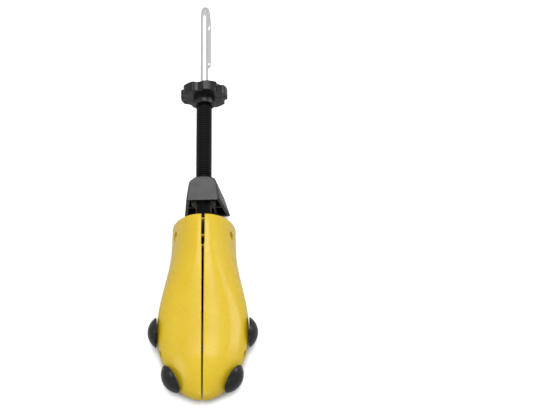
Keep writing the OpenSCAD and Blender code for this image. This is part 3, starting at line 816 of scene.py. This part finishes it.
def thread():
    """The climbing skin of the thread, with an open rim at each end."""
    turns = int((TUBE_S1 - TUBE_S0) / PITCH) - 1
    root, crest = TUBE_R - DEPTH, TUBE_R
    # one pitch, from the root over the crest and back to the root
    one = [(root, 0.0), (root + 0.08, 0.16), (crest - 0.12, 0.70), (crest, 0.80),
           (crest, 0.95), (crest - 0.12, 1.05), (root + 0.08, 1.59), (root, PITCH)]
    bm = bmesh.new()
    chain = [bm.verts.new((r, 0, TUBE_S0 + z)) for r, z in one]
    edges = [bm.edges.new(pair) for pair in zip(chain, chain[1:])]
    steps = turns * TURN_STEPS
    bmesh.ops.spin(bm, geom=chain + edges, cent=(0, 0, 0), axis=(0, 0, 1),
                   angle=math.tau * turns, steps=steps,
                   dvec=(0, 0, PITCH / TURN_STEPS))
    bmesh.ops.remove_doubles(bm, verts=bm.verts, dist=2e-4)
    return bm


def drawn_to(bm, edges, radius, z):
    """Extrudes an open rim, and moves the new rim to a radius and a height."""
    out = bmesh.ops.extrude_edge_only(bm, edges=edges)["geom"]
    verts = verts_of(out)
    for v in verts:
        a = math.atan2(v.co.y, v.co.x)
        v.co = Vector((radius * math.cos(a), radius * math.sin(a), z))
    return [e for e in edges_of(out) if all(v in verts for v in e.verts)]


def tube():
    bm = thread()
    rims = [e for e in bm.edges if e.is_boundary]
    middle = (TUBE_S0 + TUBE_S1) / 2
    low = [e for e in rims if e.verts[0].co.z < middle]
    high = [e for e in rims if e.verts[0].co.z > middle]
    for radius, z in ((SPIGOT_R, TUBE_S0 - RELIEF), (SPIGOT_R, TUBE_FRONT),
                      (BORE_R, TUBE_FRONT)):
        low = drawn_to(bm, low, radius, z)
    for radius, z in ((SPIGOT_R, TUBE_S1), (SPIGOT_R, TUBE_END), (BORE_R, TUBE_END)):
        high = drawn_to(bm, high, radius, z)
    bmesh.ops.bridge_loops(bm, edges=low + high)
    bmesh.ops.dissolve_degenerate(bm, dist=SAME, edges=bm.edges)
    outward(bm)
    return bm


threaded = tube()
print("open edges on the tube:", sum(e.is_boundary for e in threaded.edges))
finished("threaded_stem", threaded, "tube", THREAD, ["threaded_tube"],
         sharp=40, matrix=ROD_TO_PART)

# %% [markdown]
# ## The star knob
# A turned disc with rounded rims becomes the star: where a valley's cutter
# would reach, its outer rings are drawn in, so the round of the rim follows.

# %% The knob
KNOB_S, KNOB_D, KNOB_T, HUB_D, HUB_L = 110, 37.6, 8, 17.5, 6
VALLEY_R, VALLEY_AT, LOBE_TURN, SOFT = 6, KNOB_D / 2 + 3.6, -15, 0.5
KNOB_BOTTOM = KNOB_S - KNOB_T / 2
# Rings at the first radius stay round, rings beyond the second follow the star
DISC_R, STAR_FROM_R = 12, 13
LOBE_STEP = math.radians(60)
# A shallow slit across the star's underside, and the hole for the screw
SLIT_HALF_L, SLIT_HALF_W, SLIT_DEEP = 30, 0.35, 0.4
SCREW_R, SCREW_HOLE_L = 1.5, 12
TUBE_PLAY, SPIGOT_PLAY, ROD_PLAY = 0.3, 0.03, 0.5


def star_radius(angle):
    """How far out the star's edge is, with six round valleys cut into a disc."""
    off = (angle - math.radians(LOBE_TURN) - LOBE_STEP / 2) % LOBE_STEP
    off = min(off, LOBE_STEP - off)
    side = VALLEY_AT * math.sin(off)
    if side >= VALLEY_R:
        return KNOB_D / 2
    valley = VALLEY_AT * math.cos(off) - math.sqrt(VALLEY_R ** 2 - side ** 2)
    return min(KNOB_D / 2, valley)


def star():
    """A turned disc with rounded rims, whose outer rings are drawn in."""
    r = KNOB_D / 2
    low = [(r - SOFT + SOFT * math.cos(math.radians(a)),
            SOFT + SOFT * math.sin(math.radians(a))) for a in range(-90, 1, 15)]
    high = [(x, KNOB_T - z) for x, z in reversed(low)]
    bm = turned([(0, 0), (DISC_R, 0), *low, *high, (DISC_R, KNOB_T), (0, KNOB_T)], 360)
    for v in bm.verts:
        out = v.co.xy.length
        if out > STAR_FROM_R:
            # local X and Y both run the other way here than in the solids
            edge = star_radius(math.atan2(-v.co.y, -v.co.x))
            factor = (out - r + edge) / out
            v.co.x *= factor
            v.co.y *= factor
    return moved(bm, z=KNOB_BOTTOM)


def knob():
    """The star with its hub, the slit, the stepped bore and the screw's hole."""
    hub_r, tube_r = HUB_D / 2, TUBE_R + TUBE_PLAY
    spigot_r, rod_r = SPIGOT_R + SPIGOT_PLAY, ROD_D / 2 + ROD_PLAY
    hub = turned([(0, -HUB_L), (hub_r - 0.6, -HUB_L), (hub_r - 0.15, -HUB_L + 0.2),
                  (hub_r, -HUB_L + 0.7), (hub_r, 1), (0, 1)], 96)
    slit = block(-SLIT_HALF_L, SLIT_HALF_L, -SLIT_HALF_W, SLIT_HALF_W,
                 KNOB_BOTTOM - 1, KNOB_BOTTOM + SLIT_DEEP)
    bmesh.ops.rotate(slit, cent=(0, 0, 0), verts=slit.verts,
                     matrix=Matrix.Rotation(math.radians(LOBE_TURN), 3, "Z"))
    body = boolean(star(), [slit])
    body = boolean(body, [moved(hub, z=KNOB_BOTTOM)], "UNION")
    bore = turned([(0, -HUB_L - 1), (tube_r, -HUB_L - 1), (tube_r, -HUB_L + 1.2),
                   (spigot_r, -HUB_L + 1.2), (spigot_r, KNOB_T - 2),
                   (rod_r, KNOB_T - 2), (rod_r, KNOB_T + 1), (0, KNOB_T + 1)], 96)
    hole = cylinder(SCREW_R, 0, SCREW_HOLE_L, 32)
    bmesh.ops.rotate(hole, cent=(0, 0, 0), verts=hole.verts,
                     matrix=Matrix.Rotation(math.radians(90), 3, "X"))
    return boolean(body, [moved(bore, z=KNOB_BOTTOM),
                          moved(hole, z=KNOB_BOTTOM - HUB_L / 2)])


finished("knob_star", knob(), "tube", BLACK, ["star_knob"], sharp=28,
         matrix=ROD_TO_PART)

# %% [markdown]
# ## The heel piece
# The heel piece of the solids already has its real walls and ribs. A merged
# copy of it gets smooth shading over its curved back, and sharp edges where
# the walls meet.

# %% The heel piece, from a merged copy
FLAT = math.radians(0.5)
heel = bmesh.new()
heel.from_mesh(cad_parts["heel_piece"].data)
# this mesh is in metres already
bmesh.ops.remove_doubles(heel, verts=heel.verts, dist=1e-6)
bmesh.ops.dissolve_limit(heel, angle_limit=FLAT, verts=heel.verts, edges=heel.edges,
                         delimit={"NORMAL"})
finished("heel_block", heel, "heel", SATIN, ["heel_piece"], sharp=30)

# %% [markdown]
# ## Small parts that keep their solids
# The nuts, clips, pins, screws and the carrier are turned or milled forms that
# the solids give exactly, so they only get their finishes.

# %% Finishes for the carried-over solids
KEPT = {
    "hinge_carrier": DARK, "wedge": DARK, "tube_collar": THREAD, "heel_nut": BLACK,
    "left_hinge_pin": ZINC, "right_hinge_pin": ZINC, "wedge_nut": ZINC,
    # the washer, clips, retainer and its screws take the steel darkened as painted shade
    "front_washer": SHADE_DARKENED_STEEL, "rear_clip": SHADE_DARKENED_STEEL, "front_clip": SHADE_DARKENED_STEEL,
    "tube_retainer": SHADE_DARKENED_STEEL, "retainer_screws": SHADE_DARKENED_STEEL, "knob_screw": ZINC,
}
for node, material in KEPT.items():
    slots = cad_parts[node].data.materials
    slots.clear()
    slots.append(material)
print("finished:", ", ".join(KEPT))

# %% [markdown]
# ## The return spring
# Two posts are pulled together by a coil spring, whose ends go with the
# halves while its middle stays. Each half of it is therefore its own piece,
# placed where it stands.

# %% The spring's coils
COIL_R, WIRE_R, COILS, COILS_L, COIL_STEPS = 2.3, 0.5, 8, 8.5, 24
ARM_STEPS, LOOP_R, LOOP_STEPS, LOOP_SHARE = 10, 3.1, 32, 0.94


def half_coil():
    """Wire from the middle of the spring to its loop round the post."""
    path = []
    for i in range(COILS * COIL_STEPS + 1):
        a = math.tau * i / COIL_STEPS
        path.append(Vector((COILS_L * i / (COILS * COIL_STEPS), COIL_R * math.cos(a),
                            COIL_R * math.sin(a))))
    for i in range(1, ARM_STEPS + 1):
        t = i / ARM_STEPS
        path.append(Vector((lerp(COILS_L, SPRING_X - LOOP_R, t), COIL_R * (1 - t), 0)))
    for i in range(1, LOOP_STEPS + 1):
        a = math.tau * i / LOOP_STEPS * LOOP_SHARE
        path.append(Vector((SPRING_X - LOOP_R * math.cos(a), LOOP_R * math.sin(a), 0)))
    bm = bmesh.new()
    bmesh.ops.create_circle(bm, cap_ends=True, segments=10, radius=WIRE_R)
    ahead = Vector((0, 0, 1)).rotation_difference(path[1] - path[0])
    bmesh.ops.rotate(bm, cent=(0, 0, 0), verts=bm.verts, matrix=ahead.to_matrix())
    bmesh.ops.translate(bm, vec=path[0], verts=bm.verts)
    edges = bm.edges[:]
    for i in range(1, len(path)):
        here = (path[min(i + 1, len(path) - 1)] - path[i - 1]).normalized()
        out = bmesh.ops.extrude_edge_only(bm, edges=edges)["geom"]
        verts = verts_of(out)
        old = sum((v.co for v in verts), Vector()) / len(verts)
        for v in verts:
            flat = v.co - old
            v.co = path[i] + (flat - here * flat.dot(here)).normalized() * WIRE_R
        edges = [e for e in edges_of(out) if all(v in verts for v in e.verts)]
    bmesh.ops.contextual_create(bm, geom=edges)
    outward(bm)
    return moved(bm, 0, SPRING_Y, SPRING_Z)


def spring_half(name, flip, replaced=()):
    """One half of the spring, placed where it stands."""
    bm = half_coil()
    place = flip @ TO_PART
    bmesh.ops.transform(bm, matrix=place, verts=bm.verts)
    outward(bm)
    piece = as_object(name, bm)
    piece.data.shade_smooth()
    piece.data.materials.append(SPRING)
    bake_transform(piece)
    if replaced:
        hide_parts(*replaced)
    print(f"{name}: {len(piece.data.polygons)} faces")


spring_half("spring_right", Matrix.Identity(4), ["return_spring"])
spring_half("spring_left", MIRROR)

# %% [markdown]
# ## Camera, light and floor
# The camera stands where the photograph was taken from: above the toe, about
# a metre away, with a long lens. The light is soft and white. To the camera the
# room and the floor are brighter than the light they give, and reflections see
# a share of that extra brightness.

# %% The camera
CAMERA_AT = Vector((22.452, -571.737, 819.248)) * MM
RIGHT = Vector((0.999567, -0.019836, 0.021728))
UP = Vector((0.003525, 0.813952, 0.580922))
BACK = RIGHT.cross(UP)
FOCAL_PX, FRAME_PX, SENSOR_MM = 1233.2, 537, 36
camera = bpy.data.objects.new("camera", bpy.data.cameras.new("camera"))
scene.collection.objects.link(camera)
camera.matrix_world = Matrix((
    (RIGHT.x, UP.x, BACK.x, CAMERA_AT.x), (RIGHT.y, UP.y, BACK.y, CAMERA_AT.y),
    (RIGHT.z, UP.z, BACK.z, CAMERA_AT.z), (0, 0, 0, 1)))
camera.data.sensor_width = SENSOR_MM
camera.data.sensor_fit = "HORIZONTAL"
camera.data.lens = FOCAL_PX * SENSOR_MM / FRAME_PX
camera.data.clip_start = 0.05
camera.data.clip_end = 50
scene.camera = camera
print("lens:", round(camera.data.lens, 2), "mm")


# %% Soft lamps
# Each lamp: where it stands, what it faces, its width and height in metres,
# and the radiance of its face
LAMPS = {
    "overhead": ((0.05, 0.22, 1.1), (0, 0, 0), (0.8, 0.55), 3.8),
    "left": ((-0.9, -0.35, 0.75), (0, 0, 0.03), (0.5, 0.6), 2.2),
    "right": ((0.95, 0.12, 0.55), (0, 0, 0.03), (0.32, 0.6), 3.6),
    "front": ((0.1, -1.15, 0.45), (0, 0, 0.03), (0.7, 0.3), 1.6),
}
for name, (place, target, (wide, high), radiance) in LAMPS.items():
    light = bpy.data.lights.new(name, "AREA")
    light.shape = "RECTANGLE"
    light.size = wide
    light.size_y = high
    light.energy = radiance * math.pi * wide * high
    made = bpy.data.objects.new(name, light)
    scene.collection.objects.link(made)
    made.location = place
    facing = (Vector(target) - Vector(place)).to_track_quat("-Z", "Y")
    made.rotation_euler = facing.to_euler()
print("lamps:", ", ".join(LAMPS))

# %% A white floor and a white room
WHITE = (1.0, 1.0, 1.0, 1)
ROOM_LIGHT, ROOM_SEEN, ROOM_IN_GLOSS = 0.5, 1.0, 0.4
FLOOR_HALF, FLOOR_GLOW, FLOOR_IN_GLOSS = 6, 0.85, 0.1
# How near, in metres, a thing hides the floor from the sky, and the shares of
# open sky at which the floor's glow starts and is full
NEAR_BY, SKY_LOW, SKY_FULL = 0.03, 0.32, 0.6


def seen(nodes, links, in_gloss):
    """1 for rays from the camera or through a piece, a share of it in gloss."""
    path = nodes.new("ShaderNodeLightPath")
    share = nodes.new("ShaderNodeMath")
    share.operation = "MULTIPLY"
    share.inputs[1].default_value = in_gloss
    first, second = nodes.new("ShaderNodeMath"), nodes.new("ShaderNodeMath")
    first.operation = second.operation = "MAXIMUM"
    links.new(path.outputs["Is Glossy Ray"], share.inputs[0])
    links.new(path.outputs["Is Camera Ray"], first.inputs[0])
    links.new(share.outputs[0], first.inputs[1])
    links.new(first.outputs[0], second.inputs[0])
    links.new(path.outputs["Is Transmission Ray"], second.inputs[1])
    return second.outputs[0]


world = bpy.data.worlds.new("white room")
scene.world = world
world.use_nodes = True
tree = world.node_tree
background = tree.nodes["Background"]
background.inputs["Color"].default_value = WHITE
level = tree.nodes.new("ShaderNodeMapRange")
level.inputs["To Min"].default_value = ROOM_LIGHT
level.inputs["To Max"].default_value = ROOM_SEEN
tree.links.new(seen(tree.nodes, tree.links, ROOM_IN_GLOSS), level.inputs["Value"])
tree.links.new(level.outputs["Result"], background.inputs["Strength"])

floor_bm = bmesh.new()
bmesh.ops.create_grid(floor_bm, x_segments=1, y_segments=1, size=FLOOR_HALF)
floor = as_object("floor", floor_bm)
material, nodes, links, shader = new_material("white floor")
shader.inputs["Roughness"].default_value = 0.9
shader.inputs["Specular IOR Level"].default_value = 0.1
links.new(ramp(nodes, links, noise(nodes, links, 30, 2), 0.50, 0.52),
          shader.inputs["Base Color"])
shader.inputs["Emission Color"].default_value = WHITE
# painted shadow: close under the object, where the floor is hidden from the room, ambient
# occlusion dims its glow
near = nodes.new("ShaderNodeAmbientOcclusion")
near.samples = 8
near.inputs["Distance"].default_value = NEAR_BY
open_sky = nodes.new("ShaderNodeMapRange")
open_sky.inputs["From Min"].default_value = SKY_LOW
open_sky.inputs["From Max"].default_value = SKY_FULL
links.new(near.outputs["AO"], open_sky.inputs["Value"])
glow = nodes.new("ShaderNodeMath")
glow.operation = "MULTIPLY"
links.new(seen(nodes, links, FLOOR_IN_GLOSS), glow.inputs[0])
links.new(open_sky.outputs["Result"], glow.inputs[1])
strength = nodes.new("ShaderNodeMapRange")
strength.inputs["To Max"].default_value = FLOOR_GLOW
links.new(glow.outputs[0], strength.inputs["Value"])
links.new(strength.outputs["Result"], shader.inputs["Emission Strength"])
floor.data.materials.append(material)
scene.view_settings.view_transform = "Standard"
print("stage: floor and room")

# %% The end
bpy.context.view_layer.update()
